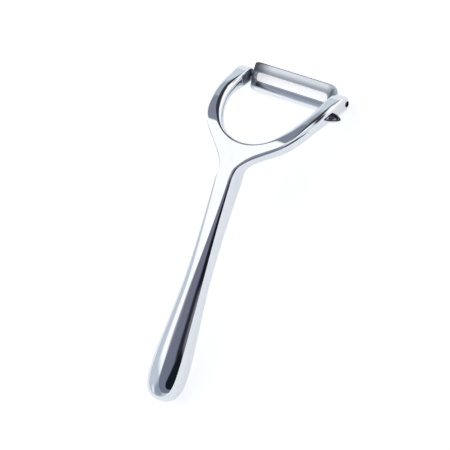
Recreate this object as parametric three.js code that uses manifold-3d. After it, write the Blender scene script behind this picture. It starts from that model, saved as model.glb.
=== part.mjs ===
// Y-shaped vegetable peeler, in millimetres: a cast handle and fork, a stamped blade and two pivot pins.
// It is drawn with the handle along +Y and the cutting side up, then laid down on its bulb and its head.
import * as THREE from "three";
import { mergeVertices } from "three/addons/utils/BufferGeometryUtils.js";
import Module from "manifold-3d";

const wasm = await Module();
wasm.setup();

// Blade
const bladeLength = 50.5;
const bladeWidth = 14.2;
const bladeThickness = 0.9;
const bladeCrown = 0.3; // how far the strip bends back evenly from its middle to its long edges
const bladeFlatHalf = 4.4; // beyond this the long edges are turned down
const bladeEdgeDrop = 0.75; // by this much more
const bladeLift = 2.2; // front of the blade above the pivot axis
const bladeTilt = THREE.MathUtils.degToRad(7);
const bendRadius = 2; // outside of the fold between the face and an ear
const cornerRun = 2; // the ear's rounding starts this far along the face
const earReach = 2.3; // ear below the pivot axis
const earEndHalf = 2.4; // half the ear's width at its end
const slotLength = 44.5;
const slotWidth = 4.3; // between the cutting edges, on the back
const edgeBevel = 0.6; // how much wider the slot is on the front, each side

// Pivot pins
const pinRadius = 0.8;
const pinHeadRadius = 1.42;
const pinHeadLength = 1.1;
const pinHeadSink = 0.9; // head below the lug's outer flat
const pinClearance = 0.08; // all round, in the lug and in the ear
const pinPastEar = 0.6; // pin end inside the ear
const holeSegments = 32;

// Handle, laid out flat: distances across from the middle line, and along it from the butt
const bulbHalfWidth = 9.66;
const bulbAt = 15;
const neckHalfWidth = 5.4;
const neckAt = 111;
const handleRun = neckAt - bulbAt;
const flattenFrom = bulbAt + 0.42 * handleRun; // the round section starts to turn into the fork's flat one

// Fork
const crotchAt = neckAt + 21;
const pivotAt = crotchAt + 42.6;
const bladeEndGap = 0.7;
const lugThickness = 7.35;
const flatDepth = 0.4; // ground off the arm to leave the lug's outer flat
const armWidth = 8.2;
const armHalfDepth = 2.9;
const lugHalfDepth = 3.7;
const armEdge = 1.8; // width of the rounded edge of an arm
const armSquareness = 3.6; // exponent of that edge: 2 is round
const pivotBehind = 0.7; // pivot axis behind the arm's middle
const lugEnd = 2.6; // arm beyond the pivot
const lugEndFront = 7.5; // length of the rounding at the tip, on the front
const lugEndBack = 3.4; // and on the back
const tipCorner = 1.4; // arm narrows this much on each side at the tip
const swingGap = 1.1; // room left round the turning blade

// Bends of the middle line, leaning back
const neckLean = THREE.MathUtils.degToRad(21);
const neckBendFrom = neckAt + 8.3;
const neckBendLength = 13;
const armLean = THREE.MathUtils.degToRad(27.4);
const armBendFrom = crotchAt + 4.5;
const armBendLength = 24;

// Eye gouge on the right arm
const gougeBelowPivot = 13.8;
const gougeAhead = 1.5; // its middle in front of the pivot axis
const gougeReach = 6.9; // beyond the arm's outer flat
const gougeHalfHeight = 3.3;
const gougeDepth = 2.5;
const gougeWall = 0.75;

// Values that follow from those above
const lugFace = bladeLength / 2 + bladeEndGap;
const lugOuter = lugFace + lugThickness;
const armOuter = lugOuter + flatDepth;
const armInner = armOuter - armWidth;
const armEnd = pivotAt + lugEnd;
const tipFrom = armEnd - lugEndFront;
const swingRadius = Math.hypot(bladeWidth / 2, bladeLift) + swingGap;

// One closed solid from a geometry
function solidOf(geometry) {
  const bare = geometry.index ? geometry.toNonIndexed() : geometry;
  const points = new THREE.BufferGeometry();
  points.setAttribute("position", bare.getAttribute("position"));
  const merged = mergeVertices(points, 1e-3);
  const kept = [];
  const index = merged.index.array;
  for (let i = 0; i < index.length; i += 3) {
    const [a, b, c] = [index[i], index[i + 1], index[i + 2]];
    if (a !== b && b !== c && c !== a) kept.push(a, b, c);
  }
  const mesh = new wasm.Mesh({
    numProp: 3,
    vertProperties: merged.attributes.position.array,
    triVerts: new Uint32Array(kept),
  });
  return new wasm.Manifold(mesh);
}

// A solid back to a geometry
function geometryOf(solid) {
  const mesh = solid.getMesh();
  const geometry = new THREE.BufferGeometry();
  geometry.setAttribute("position", new THREE.BufferAttribute(mesh.vertProperties, 3));
  geometry.setIndex(new THREE.BufferAttribute(mesh.triVerts, 1));
  geometry.computeVertexNormals();
  return geometry;
}

// A geometry from a function of column and row, as triangles
function gridGeometry(rows, columns, pointAt) {
  const place = [];
  const corner = (row, column) => place.push(...pointAt(row, column).toArray());
  for (let row = 0; row < rows; row++) {
    for (let column = 0; column < columns; column++) {
      corner(row, column);
      corner(row, column + 1);
      corner(row + 1, column + 1);
      corner(row, column);
      corner(row + 1, column + 1);
      corner(row + 1, column);
    }
  }
  const geometry = new THREE.BufferGeometry();
  geometry.setAttribute("position", new THREE.Float32BufferAttribute(place, 3));
  return geometry;
}

// Several geometries as one list of triangles
function joined(geometries) {
  const place = geometries.flatMap((g) => [...g.getAttribute("position").array]);
  const geometry = new THREE.BufferGeometry();
  geometry.setAttribute("position", new THREE.Float32BufferAttribute(place, 3));
  return geometry;
}

// The middle line of the casting, seen from the side: where it is and how far it leans at a distance along
const ease = (t) => THREE.MathUtils.smoothstep(t, 0, 1);
function leanAt(along) {
  const first = neckLean * ease((along - neckBendFrom) / neckBendLength);
  return first + armLean * ease((along - armBendFrom) / armBendLength);
}
function spineAt(along) {
  const steps = 160;
  const from = Math.min(along, neckBendFrom);
  const step = (along - from) / steps;
  const spot = new THREE.Vector3(0, from, 0);
  for (let i = 0; i < steps; i++) {
    const lean = leanAt(from + step * (i + 0.5));
    spot.y += step * Math.cos(lean);
    spot.z -= step * Math.sin(lean);
  }
  return spot;
}
// A point of the flat layout carried onto the bent middle line
function bent(across, along, height) {
  const lean = leanAt(along);
  const spot = spineAt(along);
  spot.x = across;
  spot.y += height * Math.sin(lean);
  spot.z += height * Math.cos(lean);
  return spot;
}

const at = (x, y) => new THREE.Vector2(x, y);
const curve = (a, b, c, d) => new THREE.CubicBezierCurve(a, b, c, d);
const line = (a, b) => new THREE.LineCurve(a, b);

// Outline of the right half, as strips between an inner and an outer curve, from the butt to the arm's tip.
// Along the handle the inner curve is the middle line, level with the outer one.
const bulb = at(bulbHalfWidth, bulbAt);
const neck = at(neckHalfWidth, neckAt);
const afterBulb = at(bulb.x, bulbAt + 0.2 * handleRun);
const beforeNeck = at(neck.x - 0.3, neckAt - 0.615 * handleRun);
const hip = at(neckHalfWidth + 2.1, crotchAt - 10.7);
const elbowOuter = at(0.763 * armOuter, crotchAt + 5.2);
const elbowInner = at(0.717 * armInner, crotchAt + 9.1);
const neckMiddle = at(0, neckAt);
const crotch = at(0, crotchAt);
const tipOuter = at(armOuter, tipFrom);
const tipInner = at(armInner, tipFrom);
const endOuter = at(armOuter - tipCorner, armEnd);
const endInner = at(armInner + tipCorner, armEnd);
const even = (t) => t;
const towardsEnds = (t) => (1 - Math.cos(Math.PI * t)) / 2;
const towardsStart = (t) => 1 - Math.cos((Math.PI * t) / 2);
const towardsEnd = (t) => Math.sin((Math.PI * t) / 2);
const strips = [
  {
    outer: curve(at(0, 0), at(0.78 * bulb.x, 0), at(bulb.x, 0.4 * bulb.y), bulb),
    steps: 10,
    spacing: towardsStart,
  },
  {
    outer: curve(bulb, afterBulb, beforeNeck, neck),
    steps: 14,
    spacing: even,
  },
  {
    inner: line(neckMiddle, crotch),
    outer: curve(neck, at(neck.x, neck.y + 6), at(hip.x - 2.7, hip.y - 3.1), hip),
    steps: 10,
    spacing: towardsEnd,
  },
  {
    inner: curve(crotch, at(9.5, crotchAt), elbowInner.clone().sub(at(3.3, 5)), elbowInner),
    outer: curve(hip, hip.clone().add(at(4.6, 5.3)), elbowOuter.clone().sub(at(4.1, 5.6)), elbowOuter),
    steps: 14,
    spacing: even,
  },
  {
    inner: curve(elbowInner, elbowInner.clone().add(at(4.4, 6.6)), at(armInner, tipFrom - 15), tipInner),
    outer: curve(elbowOuter, elbowOuter.clone().add(at(5, 6.9)), at(armOuter, tipFrom - 18), tipOuter),
    steps: 16,
    spacing: even,
  },
  {
    inner: curve(tipInner, at(armInner, armEnd - 3), at(armInner, armEnd - 1), endInner),
    outer: curve(tipOuter, at(armOuter, armEnd - 3), at(armOuter, armEnd - 1), endOuter),
    steps: 9,
    spacing: towardsEnd,
  },
];

// Half-depth of the casting on the front or the back
function depthAt(along, halfWidth, rounding) {
  if (along <= neckAt) return halfWidth;
  const thinning = ease((along - neckAt) / (crotchAt - neckAt));
  const swelling = ease((along - elbowInner.y) / (tipFrom - elbowInner.y));
  const arm = armHalfDepth + (lugHalfDepth - armHalfDepth) * swelling;
  const depth = THREE.MathUtils.lerp(neckHalfWidth, arm, thinning);
  const past = Math.max(0, (along - (armEnd - rounding)) / rounding);
  return depth * Math.sqrt(Math.max(0, 1 - past ** 3));
}

// Rise of a rounded edge at a distance in from the outline: 0 at the edge, 1 from its width on
function edgeRise(distance, width, squareness) {
  const share = THREE.MathUtils.clamp(1 - distance / width, 0, 1);
  return Math.pow(1 - Math.pow(share, squareness), 1 / squareness);
}

// Rims of the right half as short straight steps, and how far a place lies from a rim
const rimOf = (curves) => curves.flatMap((rim) => rim.getPoints(48));
const outerRim = rimOf(strips.map((strip) => strip.outer));
const innerRim = rimOf(strips.slice(3).map((strip) => strip.inner));
function distanceFrom(rim, place) {
  let least = Infinity;
  for (let i = 1; i < rim.length; i++) {
    const step = rim[i].clone().sub(rim[i - 1]);
    const away = place.clone().sub(rim[i - 1]);
    const share = THREE.MathUtils.clamp(away.dot(step) / Math.max(step.lengthSq(), 1e-12), 0, 1);
    least = Math.min(least, away.addScaledVector(step, -share).length());
  }
  return least;
}

// Rows across the right half, and how far each has changed from round handle to edged fork
const rows = [];
strips.forEach((strip, number) => {
  for (let i = number === 0 ? 0 : 1; i <= strip.steps; i++) {
    const t = strip.spacing(i / strip.steps);
    const outer = strip.outer.getPoint(t);
    const inner = strip.inner ? strip.inner.getPoint(t) : at(0, outer.y);
    const fork = ease((outer.y - flattenFrom) / (elbowOuter.y - flattenFrom));
    rows.push({ inner, outer, fork });
  }
});

// One half of the casting's skin, front or back
const columns = 11;
function castingPoint(row, column, side) {
  const { inner, outer, fork } = rows[row];
  const t = column / columns;
  const share = THREE.MathUtils.lerp(Math.sin((Math.PI * t) / 2), towardsEnds(t), fork);
  const spot = inner.clone().lerp(outer, share);
  const edge = THREE.MathUtils.lerp(Math.max(outer.x, 1e-6), armEdge, fork);
  const squareness = THREE.MathUtils.lerp(2, armSquareness, fork);
  const fromOuter = THREE.MathUtils.lerp(outer.x - spot.x, distanceFrom(outerRim, spot), fork);
  const outerRise = edgeRise(column === columns ? 0 : fromOuter, edge, squareness);
  const onInnerRim = column === 0 && spot.y >= crotchAt;
  const innerRise = edgeRise(onInnerRim ? 0 : distanceFrom(innerRim, spot), armEdge, armSquareness);
  const rounding = side > 0 ? lugEndFront : lugEndBack;
  const height = depthAt(spot.y, outer.x, rounding) * outerRise * innerRise;
  return bent(spot.x, spot.y, side * height);
}
function castingSkin() {
  const flip = (point, hand) => point.setX(point.x * hand);
  const skins = [];
  for (const hand of [1, -1]) {
    for (const side of [1, -1]) {
      const forward = hand * side > 0;
      const pointAt = (row, column) => {
        const across = forward ? column : columns - column;
        return flip(castingPoint(row, across, side), hand);
      };
      skins.push(gridGeometry(rows.length - 1, columns, pointAt));
    }
  }
  return joined(skins);
}

// Pivot axis and the frame of the arm there
const pivot = bent(0, pivotAt, -pivotBehind);
const armAngle = leanAt(pivotAt);
const armUp = new THREE.Vector3(0, Math.cos(armAngle), -Math.sin(armAngle));
const armFront = new THREE.Vector3(0, Math.sin(armAngle), Math.cos(armAngle));

// A round bar along X between two places
function barX(radius, from, to, segments) {
  const geometry = new THREE.CylinderGeometry(radius, radius, to - from, segments);
  geometry.rotateZ(Math.PI / 2);
  geometry.translate((from + to) / 2, pivot.y, pivot.z);
  return solidOf(geometry);
}

// Eye gouge: the back half of a long hollow bowl standing out of the right arm
function gougeBowl(reach, halfHeight, depth) {
  const geometry = new THREE.SphereGeometry(1, 32, 20);
  geometry.scale(reach, halfHeight, depth);
  return geometry;
}
function eyeGouge() {
  const centre = pivot.clone();
  centre.addScaledVector(armUp, -gougeBelowPivot);
  centre.addScaledVector(armFront, gougeAhead);
  centre.x = lugOuter;
  const place = (geometry) => geometry.rotateX(-armAngle).translate(...centre.toArray());
  const reach = gougeReach - gougeWall;
  const height = gougeHalfHeight - gougeWall;
  const depth = gougeDepth - gougeWall;
  const shell = solidOf(place(gougeBowl(gougeReach, gougeHalfHeight, gougeDepth)));
  const hollow = solidOf(place(gougeBowl(reach, height, depth)));
  const block = new THREE.BoxGeometry(2 * gougeReach, 3 * gougeHalfHeight, gougeDepth);
  block.translate(gougeReach + 0.01, 0, gougeDepth / 2);
  const root = new THREE.BoxGeometry(2 * armWidth, 3 * gougeHalfHeight, 3 * gougeDepth);
  root.translate(-armWidth - 1.2, 0, 0);
  const inside = solidOf(place(root));
  return shell.subtract(hollow.subtract(inside)).subtract(solidOf(place(block))).subtract(inside);
}

// Casting: handle, neck, fork, lugs and eye gouge in one piece
function castingSolid() {
  let casting = solidOf(castingSkin());
  casting = casting.subtract(barX(swingRadius, -lugFace, lugFace, 64));
  for (const hand of [1, -1]) {
    const beyond = new THREE.BoxGeometry(armWidth, 2 * armEnd, 2 * armEnd);
    beyond.translate(hand * (lugOuter + armWidth / 2), 0, 0);
    casting = casting.subtract(solidOf(beyond));
  }
  casting = casting.add(eyeGouge());
  const headSeat = lugOuter - pinHeadSink - pinHeadLength - pinClearance;
  for (const hand of [1, -1]) {
    const seat = [hand * headSeat, hand * (lugOuter + 1)].sort((a, b) => a - b);
    const through = [hand * (lugFace - 1), hand * (lugOuter + 1)].sort((a, b) => a - b);
    casting = casting.subtract(barX(pinHeadRadius + pinClearance, ...seat, holeSegments));
    casting = casting.subtract(barX(pinRadius + pinClearance, ...through, holeSegments));
  }
  return casting;
}

// Blade: a folded sheet, as a path from ear to ear with the width across it
const bladeHalf = bladeLength / 2;
const foldLength = (Math.PI / 2) * bendRadius;
const earLength = earReach + bladeLift - bendRadius;
const faceLength = bladeLength - 2 * bendRadius;
const pathLength = 2 * (earLength + foldLength) + faceLength;
function bladePath(distance) {
  const side = distance < pathLength / 2 ? -1 : 1;
  const fromEnd = Math.min(distance, pathLength - distance);
  if (fromEnd <= earLength) return { x: side * bladeHalf, d: fromEnd - earReach, nx: side, nd: 0 };
  const turn = Math.min((fromEnd - earLength) / bendRadius, Math.PI / 2);
  const rest = Math.max(0, fromEnd - earLength - foldLength);
  const x = bladeHalf - bendRadius + bendRadius * Math.cos(turn) - rest;
  const d = bladeLift - bendRadius + bendRadius * Math.sin(turn);
  return { x: side * x, d, nx: side * Math.cos(turn), nd: Math.sin(turn) };
}
// Half-width of the sheet, rounded in from near the end of the face to the end of each ear
function bladeHalfWidth(distance) {
  const fromEnd = Math.min(distance, pathLength - distance);
  const share = Math.min(1, fromEnd / (earLength + foldLength + cornerRun));
  return earEndHalf + (bladeWidth / 2 - earEndHalf) * Math.sqrt(1 - (1 - share) ** 2);
}
// How far the strip bends back at a distance across from its middle
function bowAt(across) {
  const half = bladeWidth / 2;
  const turned = Math.max(0, (Math.abs(across) - bladeFlatHalf) / (half - bladeFlatHalf));
  return bladeCrown * (across / half) ** 2 + bladeEdgeDrop * turned ** 2;
}
// Distances along the path, close together in the ears, folds and rounded corners
const bladeStations = [];
const endLength = earLength + foldLength + cornerRun;
const plainLength = pathLength - 2 * endLength;
for (let i = 0; i <= 14; i++) bladeStations.push((endLength * i) / 14);
for (let i = 1; i <= 8; i++) bladeStations.push(endLength + (plainLength * i) / 8);
for (let i = 1; i <= 14; i++) bladeStations.push(endLength + plainLength + (endLength * i) / 14);
const bladeColumns = 12;
function bladeSheet() {
  const point = (row, column, inset) => {
    const distance = bladeStations[row];
    const path = bladePath(distance);
    const across = bladeHalfWidth(distance) * (2 * (column / bladeColumns) - 1);
    const x = path.x - path.nx * inset;
    return new THREE.Vector3(x, across, path.d - path.nd * inset - bowAt(across));
  };
  const last = bladeStations.length - 1;
  const front = gridGeometry(last, bladeColumns, (r, c) => point(r, bladeColumns - c, 0));
  const back = gridGeometry(last, bladeColumns, (r, c) => point(r, c, bladeThickness));
  const inset = (step) => step * bladeThickness;
  const low = gridGeometry(last, 1, (r, c) => point(r, 0, inset(c)));
  const high = gridGeometry(last, 1, (r, c) => point(r, bladeColumns, inset(1 - c)));
  const first = gridGeometry(1, bladeColumns, (r, c) => point(0, c, inset(r)));
  const final = gridGeometry(1, bladeColumns, (r, c) => point(last, c, inset(1 - r)));
  return solidOf(joined([front, back, low, high, first, final]));
}
// Slot: a stadium that opens out towards the front, which leaves the ground cutting edges
function slotCutter() {
  const ring = (grow, d) => {
    const radius = slotWidth / 2 + grow;
    const middle = slotLength / 2 - slotWidth / 2;
    const count = 40;
    const points = [];
    for (let i = 0; i <= count; i++) {
      const angle = (2 * Math.PI * i) / count;
      const side = Math.sign(Math.round(1e6 * Math.cos(angle))) * middle;
      points.push(new THREE.Vector3(side + radius * Math.cos(angle), radius * Math.sin(angle), d));
    }
    return points;
  };
  const top = bladeLift + 0.5;
  const slope = edgeBevel / bladeThickness;
  const backLevel = bladeLift - bladeThickness;
  const rings = [ring(0, -earReach - 1), ring(0, backLevel), ring(slope * (top - backLevel), top)];
  const centre = (d) => new THREE.Vector3(0, 0, d);
  const wall = gridGeometry(2, 40, (r, c) => rings[r][c]);
  const lid = gridGeometry(1, 40, (r, c) => (r === 0 ? rings[2][c] : centre(top)));
  const floor = gridGeometry(1, 40, (r, c) => (r === 0 ? centre(-earReach - 1) : rings[0][c]));
  return solidOf(joined([wall, lid, floor]));
}
function bladeGeometry() {
  const holeRadius = pinRadius + pinClearance;
  const pinHole = new THREE.CylinderGeometry(holeRadius, holeRadius, 2 * bladeLength, holeSegments);
  pinHole.rotateZ(Math.PI / 2);
  const blank = bladeSheet().subtract(solidOf(pinHole));
  const geometry = geometryOf(blank.subtract(slotCutter()));
  geometry.rotateX(bladeTilt);
  geometry.translate(0, pivot.y, pivot.z);
  return geometry;
}

// Headed pin, turned about X: head towards the outside
function pinGeometry(hand) {
  const outerEnd = lugOuter - pinHeadSink;
  const innerEnd = bladeHalf - bladeThickness - pinPastEar;
  const chamfer = 0.2;
  const profile = [
    at(0, innerEnd),
    at(pinRadius - chamfer, innerEnd),
    at(pinRadius, innerEnd + chamfer),
    at(pinRadius, outerEnd - pinHeadLength),
    at(pinHeadRadius, outerEnd - pinHeadLength),
    at(pinHeadRadius, outerEnd - chamfer),
    at(pinHeadRadius - chamfer, outerEnd),
    at(0, outerEnd),
  ];
  const geometry = new THREE.LatheGeometry(profile, holeSegments);
  geometry.rotateZ((-hand * Math.PI) / 2);
  geometry.translate(0, pivot.y, pivot.z);
  return geometry;
}

// Finishes
const chrome = () => new THREE.MeshStandardMaterial({ color: 0xd3d8dd, roughness: 0.06, metalness: 1 });
const bladeSteel = () => new THREE.MeshStandardMaterial({ color: 0xb4bac2, roughness: 0.18, metalness: 1 });
const pinSteel = () => new THREE.MeshStandardMaterial({ color: 0x9aa0a6, roughness: 0.3, metalness: 1 });

const peeler = new THREE.Group();
function addPiece(name, geometry, material) {
  const mesh = new THREE.Mesh(geometry, material);
  mesh.name = name;
  peeler.add(mesh);
}
addPiece("handle_fork", geometryOf(castingSolid()), chrome());
addPiece("blade", bladeGeometry(), bladeSteel());
addPiece("left_pivot_pin", pinGeometry(-1), pinSteel());
addPiece("right_pivot_pin", pinGeometry(1), pinSteel());

// Laid down: tilted until the bulb and the head stand at one height, then set on the floor
function lowestPoint(angle, wanted) {
  const axis = new THREE.Vector3(1, 0, 0);
  const spot = new THREE.Vector3();
  let low = Infinity;
  for (const piece of peeler.children) {
    const place = piece.geometry.getAttribute("position");
    for (let i = 0; i < place.count; i++) {
      spot.fromBufferAttribute(place, i);
      if (wanted(spot.y)) low = Math.min(low, spot.applyAxisAngle(axis, angle).z);
    }
  }
  return low;
}
let tilt = 0;
for (let step = Math.PI / 8; step > 1e-6; step /= 2) {
  const bulbLow = lowestPoint(tilt, (y) => y < neckAt);
  const headLow = lowestPoint(tilt, (y) => y >= neckAt);
  tilt += bulbLow > headLow ? step : -step;
}
peeler.rotation.x = tilt;
const box = new THREE.Box3().setFromObject(peeler, true);
const middle = box.getCenter(new THREE.Vector3());
peeler.position.set(-middle.x, -middle.y, -box.min.z);

export default peeler;
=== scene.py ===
# Y-shaped vegetable peeler: a chromed cast handle and fork, a slotted swivel blade and two pivot pins.
# Surfaces are drawn in millimetres, handle along +Y and cutting side up, and then laid on the floor.
import math

import bmesh
import bpy
import numpy as np
from mathutils import Matrix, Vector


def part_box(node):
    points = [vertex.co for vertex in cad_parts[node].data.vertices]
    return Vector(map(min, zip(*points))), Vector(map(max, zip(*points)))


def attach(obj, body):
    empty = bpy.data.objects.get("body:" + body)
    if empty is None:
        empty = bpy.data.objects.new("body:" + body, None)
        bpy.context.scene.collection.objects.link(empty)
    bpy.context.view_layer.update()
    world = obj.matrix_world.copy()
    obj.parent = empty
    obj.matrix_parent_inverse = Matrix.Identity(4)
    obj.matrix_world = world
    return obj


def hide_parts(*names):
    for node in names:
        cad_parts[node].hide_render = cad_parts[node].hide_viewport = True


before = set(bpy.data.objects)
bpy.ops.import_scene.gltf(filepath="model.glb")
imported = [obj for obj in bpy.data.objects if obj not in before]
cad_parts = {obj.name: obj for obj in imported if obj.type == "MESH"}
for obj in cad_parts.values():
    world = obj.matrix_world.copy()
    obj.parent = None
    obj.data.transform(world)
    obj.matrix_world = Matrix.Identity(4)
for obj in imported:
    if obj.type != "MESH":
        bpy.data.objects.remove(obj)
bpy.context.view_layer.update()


# Handle and fork: one die casting of zinc alloy, polished and chrome plated.
# A round handle with a bulb at the butt flattens towards the neck and parts into two arms that lean back.
# The lugs at their tips are ground flat outside and drilled for the pins that carry the blade.
BULB_HALF_WIDTH = 9.66
BULB_AT = 15.0
NECK_HALF_WIDTH = 5.4
NECK_AT = 111.0
HANDLE_RUN = NECK_AT - BULB_AT
FLATTEN_FROM = BULB_AT + 0.42 * HANDLE_RUN
CROTCH_AT = NECK_AT + 21
PIVOT_AT = CROTCH_AT + 42.6
PIVOT_BEHIND = 0.7
LUG_FACE = 25.95
LUG_OUTER = 33.3
ARM_OUTER = LUG_OUTER + 0.4
ARM_INNER = ARM_OUTER - 8.2
ARM_HALF_DEPTH = 2.9
ARM_EDGE = 1.8
ARM_SQUARENESS = 3.6
INNER_SOFTER_EDGE = 4.0
INNER_SOFTER_SQUARENESS = 2.3
OUTER_SOFTER_EDGE = 2.9
OUTER_SOFTER_SQUARENESS = 2.6
SOFTER_GROWTH = 14.0
INNER_SOFTER_SHORT = 12.0
INNER_SOFTER_FADE = 12.0
OUTER_SOFTER_SHORT = 5.0
OUTER_SOFTER_FADE = 9.0
LUG_HALF_DEPTH = 3.7
ARM_END = PIVOT_AT + 2.6
TIP_ROUNDING_FRONT = 7.5
TIP_ROUNDING_BACK = 3.4
TIP_CORNER = 1.4
SWING_RADIUS = 8.53
RECESS_FLARE = 0.5
RECESS_SLOPE = 2.0
LUG_EDGE = 0.15
NECK_LEAN = math.radians(21)
NECK_BEND_FROM = NECK_AT + 8.3
NECK_BEND_LENGTH = 13.0
ARM_LEAN = math.radians(27.4)
ARM_BEND_FROM = CROTCH_AT - 1
ARM_BEND_LENGTH = 35.0
REST_TILT = math.radians(8.0821)


def ease(t):
    """Smooth step from 0 to 1, level at both ends."""
    t = np.clip(t, 0, 1)
    return t * t * (3 - 2 * t)


def lean_at(along):
    """Lean of the middle line: two smooth bends, one at the neck and one along the arms."""
    neck_part = NECK_LEAN * ease((along - NECK_BEND_FROM) / NECK_BEND_LENGTH)
    return neck_part + ARM_LEAN * ease((along - ARM_BEND_FROM) / ARM_BEND_LENGTH)


LINE_STEP = 0.05
LINE_PAST_TIP = 1.0
line_along = np.arange(0, ARM_END + LINE_PAST_TIP, LINE_STEP)
line_lean = lean_at(line_along + LINE_STEP / 2)
line_y = np.concatenate([[0], np.cumsum(LINE_STEP * np.cos(line_lean))[:-1]])
line_z = np.concatenate([[0], -np.cumsum(LINE_STEP * np.sin(line_lean))[:-1]])


def bent(across, along, height):
    """The flat layout carried onto the leaning middle line: height stands square to it."""
    lean = lean_at(along)
    y = np.interp(along, line_along, line_y) + height * np.sin(lean)
    z = np.interp(along, line_along, line_z) + height * np.cos(lean)
    return np.stack([across + 0 * along, y, z], axis=-1)


pivot = bent(np.array(0.0), np.array(PIVOT_AT), np.array(-PIVOT_BEHIND))
turn = np.array(Matrix.Rotation(REST_TILT, 3, "X"))
pin_low, pin_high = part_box("right_pivot_pin")
blade_low, blade_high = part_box("blade")
rest_pivot = np.array([
    (blade_low.x + blade_high.x) / 2,
    (pin_low.y + pin_high.y) / 2,
    (pin_low.z + pin_high.z) / 2,
])


def placed(points):
    """Drawn points turned about the pivot to the resting tilt and moved to its place, in metres."""
    return (np.asarray(points) - pivot) @ turn.T / 1000 + rest_pivot


def bezier(a, b, c, d, t):
    """Cubic curve of four control points at the shares t."""
    a, b, c, d = (np.array(point, float) for point in (a, b, c, d))
    t = t[:, None]
    return (1 - t) ** 3 * a + 3 * (1 - t) ** 2 * t * b + 3 * (1 - t) * t * t * c + t ** 3 * d


NEARLY_ZERO = 1e-9


def rim_distance(points, rim):
    """Distance of each flat point from the nearest straight step of a rim."""
    start = rim[:-1]
    step = rim[1:] - start
    away = points[..., None, :] - start
    share = np.clip((away * step).sum(-1) / np.maximum((step * step).sum(-1), NEARLY_ZERO), 0, 1)
    return np.linalg.norm(away - share[..., None] * step, axis=-1).min(-1)


def edge_rise(distance, width, squareness):
    """Height of a rounded edge, as a share, at a distance from the rim: a quarter of a superellipse."""
    share = np.clip(1 - distance / width, 0, 1)
    return (1 - share ** squareness) ** (1 / squareness)


def soft_least(a, b, blend):
    """The lesser of two values, with the corner rounded over a width of blend."""
    near = np.maximum(blend - np.abs(a - b), 0) / blend
    return np.minimum(a, b) - near * near * blend / 4


# Rims of the right half laid flat, in six stretches from the butt to the arm's tip. Where a curve's two
# middle points have no name, they are pulls along and across from its named ends.
LONG_STRETCH = 73
CURLED_STRETCH = 41
tip_from = ARM_END - TIP_ROUNDING_FRONT
bulb = np.array([BULB_HALF_WIDTH, BULB_AT])
neck = np.array([NECK_HALF_WIDTH, NECK_AT])
after_bulb = bulb + (0, 0.2 * HANDLE_RUN)
before_neck = neck - (0.3, 0.615 * HANDLE_RUN)
hip = np.array([NECK_HALF_WIDTH + 2.1, CROTCH_AT - 10.7])
crotch = np.array([0, CROTCH_AT])
elbow_outer = np.array([0.763 * ARM_OUTER, CROTCH_AT + 5.2])
elbow_inner = np.array([0.717 * ARM_INNER, CROTCH_AT + 9.1])
tip_outer = np.array([ARM_OUTER, tip_from])
tip_inner = np.array([ARM_INNER, tip_from])
end_outer = np.array([ARM_OUTER - TIP_CORNER, ARM_END])
end_inner = np.array([ARM_INNER + TIP_CORNER, ARM_END])
even = np.linspace(0, 1, LONG_STRETCH)
towards_start = 1 - np.cos(np.linspace(0, math.pi / 2, CURLED_STRETCH))
towards_end = np.sin(np.linspace(0, math.pi / 2, CURLED_STRETCH))
outer_parts = [
    bezier((0, 0), (0.78 * bulb[0], 0), bulb * (1, 0.4), bulb, towards_start),
    bezier(bulb, after_bulb, before_neck, neck, even),
    bezier(neck, neck + (0, 6), hip - (2.7, 3.1), hip, towards_end),
    bezier(hip, hip + (4.6, 5.3), elbow_outer - (4.1, 5.6), elbow_outer, even),
    bezier(elbow_outer, elbow_outer + (5, 6.9), tip_outer - (0, 18), tip_outer, even),
    bezier(tip_outer, (ARM_OUTER, ARM_END - 3), (ARM_OUTER, ARM_END - 1), end_outer, towards_end),
]
inner_parts = [
    outer_parts[0] * (0, 1),
    outer_parts[1] * (0, 1),
    neck * (0, 1) + (crotch - neck * (0, 1)) * towards_end[:, None],
    bezier(crotch, crotch + (9.5, 0), elbow_inner - (3.3, 5), elbow_inner, even),
    bezier(elbow_inner, elbow_inner + (4.4, 6.6), tip_inner - (0, 15), tip_inner, even),
    bezier(tip_inner, (ARM_INNER, ARM_END - 3), (ARM_INNER, ARM_END - 1), end_inner, towards_end),
]
outer_rim = np.concatenate([outer_parts[0]] + [part[1:] for part in outer_parts[1:]])
inner_rim = np.concatenate([inner_parts[0]] + [part[1:] for part in inner_parts[1:]])
on_fork_rim = inner_rim[:, 1] >= CROTCH_AT - NEARLY_ZERO
fork_rim = inner_rim[on_fork_rim]
SECTION_POINTS = 49


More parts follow.
